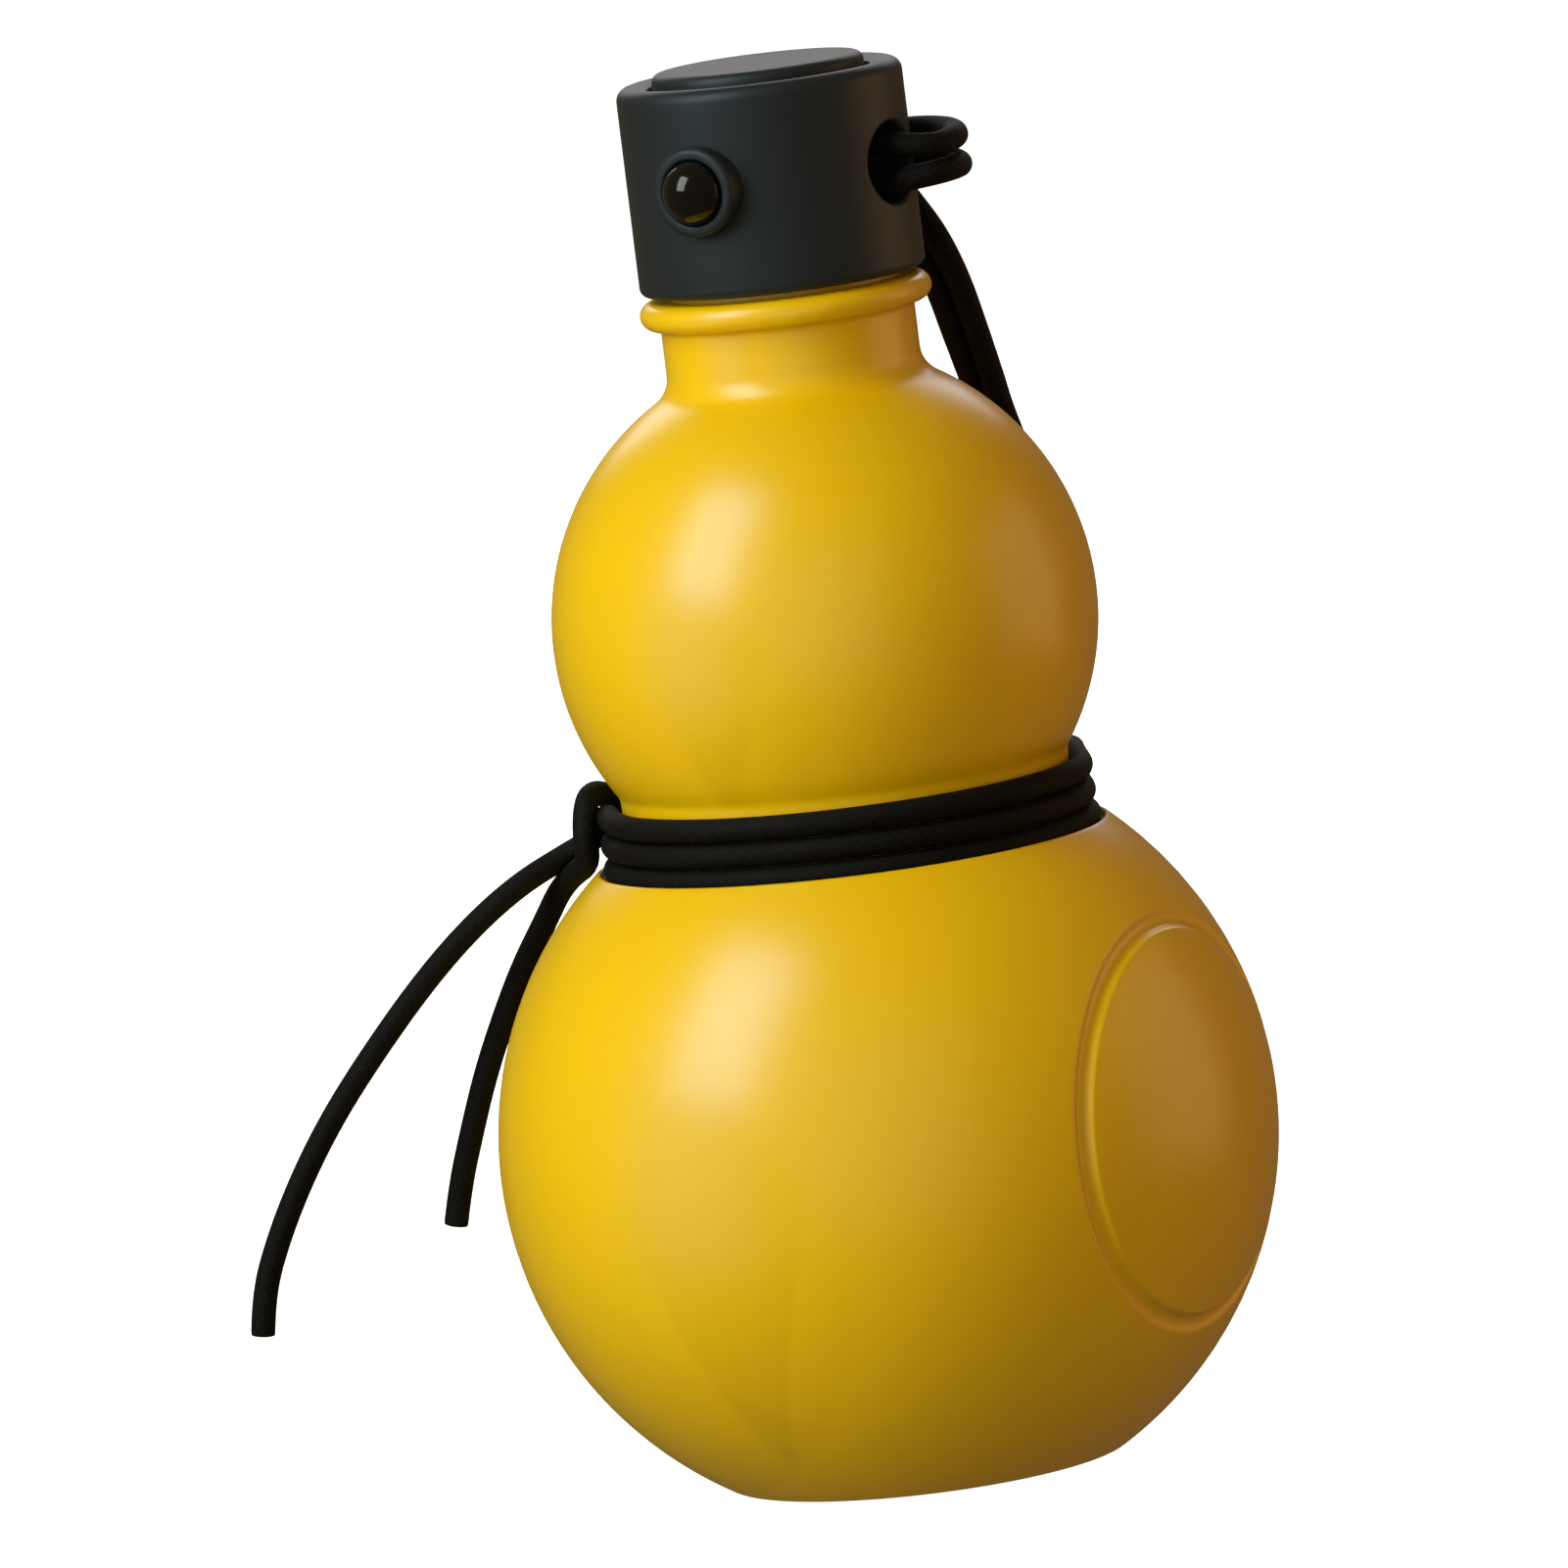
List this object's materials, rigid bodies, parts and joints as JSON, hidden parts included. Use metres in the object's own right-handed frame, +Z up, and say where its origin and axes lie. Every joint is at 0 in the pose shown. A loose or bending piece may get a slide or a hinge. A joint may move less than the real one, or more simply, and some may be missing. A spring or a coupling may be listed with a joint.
{
  "type": "gourd water bottle",
  "caption": "Gourd-shaped bottle of a small bulb on a large one, with a screw cap, a push button at its side and a cord from the cap wound round the waist.",
  "frame": {"origin": "centre of the standing ring's flat face, at the bottom of the bottle", "axes": "+Z up along the bottle's axis, -Y towards the push button, +X towards the cord hole and the round panel"},
  "size_m": [0.1482, 0.1168, 0.2123],
  "materials": {
    "body_paint": "satin yellow powder coat on sheet steel",
    "cap_plastic": "matte charcoal plastic",
    "button_gloss": "glossy black plastic",
    "steel": "bare stainless steel",
    "silicone": "matte black silicone rubber",
    "cord": "black braided cord"
  },
  "bodies": {
    "bottle": {"upper_shell": "body_paint", "neck_finish": "body_paint", "lower_shell": "body_paint", "base_plate": "body_paint", "strap_strand_outer": "cord", "strap_strand_inner": "cord", "waist_winding": "cord", "waist_return": "cord", "waist_knot": "cord", "tail_long": "cord", "tail_short": "cord"},
    "seal": {"lip_gasket": "silicone"},
    "cap": {"cap_shell": "cap_plastic", "cap_cover": "cap_plastic", "thread_insert": "cap_plastic", "lanyard_pin": "steel", "button_collar": "cap_plastic", "button_spring": "steel", "cap_cord_loop": "cord"},
    "button": {"button": "button_gloss", "valve_disc": "silicone", "stem_clip": "steel"}
  },
  "joints": [
    {"name": "cap_lift", "type": "slide", "parent": "bottle", "child": "seal", "axis": [0, 0, 1], "range_m": [0, 0.01], "deforming": ["strap_strand_outer", "strap_strand_inner"]},
    {"name": "cap_turn", "type": "hinge", "parent": "seal", "child": "cap", "pos_m": [0, 0, 0.183], "axis": [0, 0, 1], "range_deg": [0, 60], "deforming": ["strap_strand_outer", "strap_strand_inner"]},
    {"name": "button_press", "type": "slide", "parent": "cap", "child": "button", "axis": [0, 1, 0], "range_m": [0, 0.0018], "stiffness_N_per_m": 400, "springref_m": -0.002, "deforming": ["button_spring"]}
  ]
}
